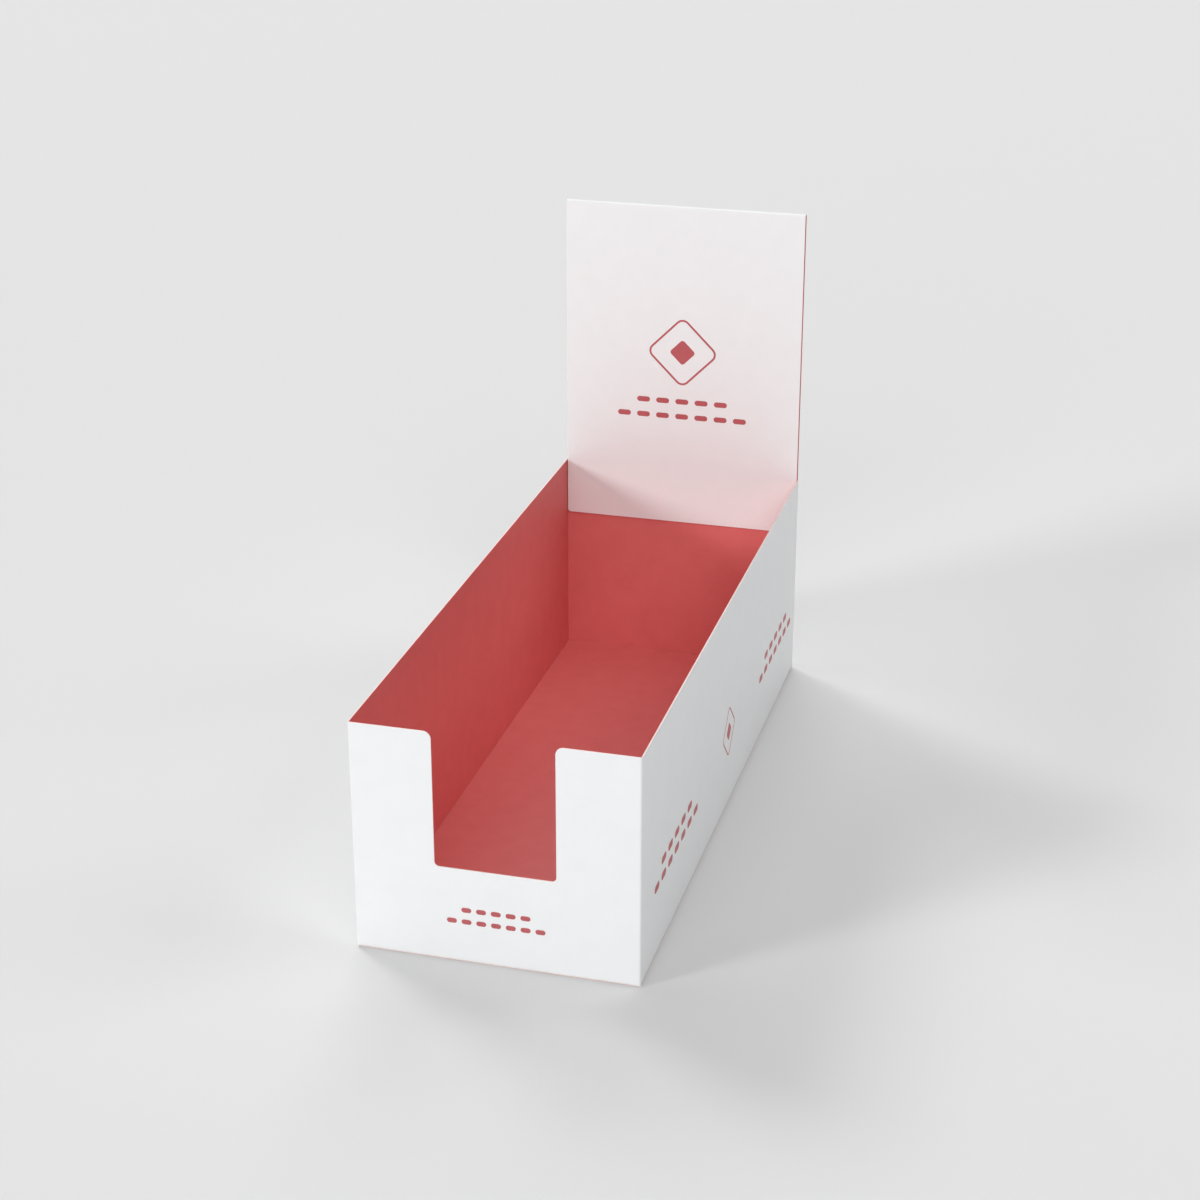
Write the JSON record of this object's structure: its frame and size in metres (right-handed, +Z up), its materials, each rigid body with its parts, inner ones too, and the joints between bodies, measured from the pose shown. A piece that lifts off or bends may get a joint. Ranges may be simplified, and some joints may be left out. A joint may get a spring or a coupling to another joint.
{
  "type": "counter display box",
  "caption": "Long open counter tray folded from printed board, with a U-shaped notch in its front panel and a tall folded-over header whose front ply swings up.",
  "frame": {"origin": "middle of the footprint, at the underside of the floor", "axes": "+Z up, +Y from the notched front panel to the header, +X to the right seen from the front"},
  "size_m": [0.12, 0.316, 0.237],
  "materials": {
    "printed_board": "satin"
  },
  "bodies": {
    "box": {"folded_tray_and_header": "printed_board"},
    "tuck_panel": {"header_tuck_panel": "printed_board"}
  },
  "joints": [
    {"name": "header_fold", "type": "hinge", "parent": "box", "child": "tuck_panel", "pos_m": [0, 0.1571, 0.237], "axis": [-1, 0, 0], "range_deg": [0, 180]}
  ]
}
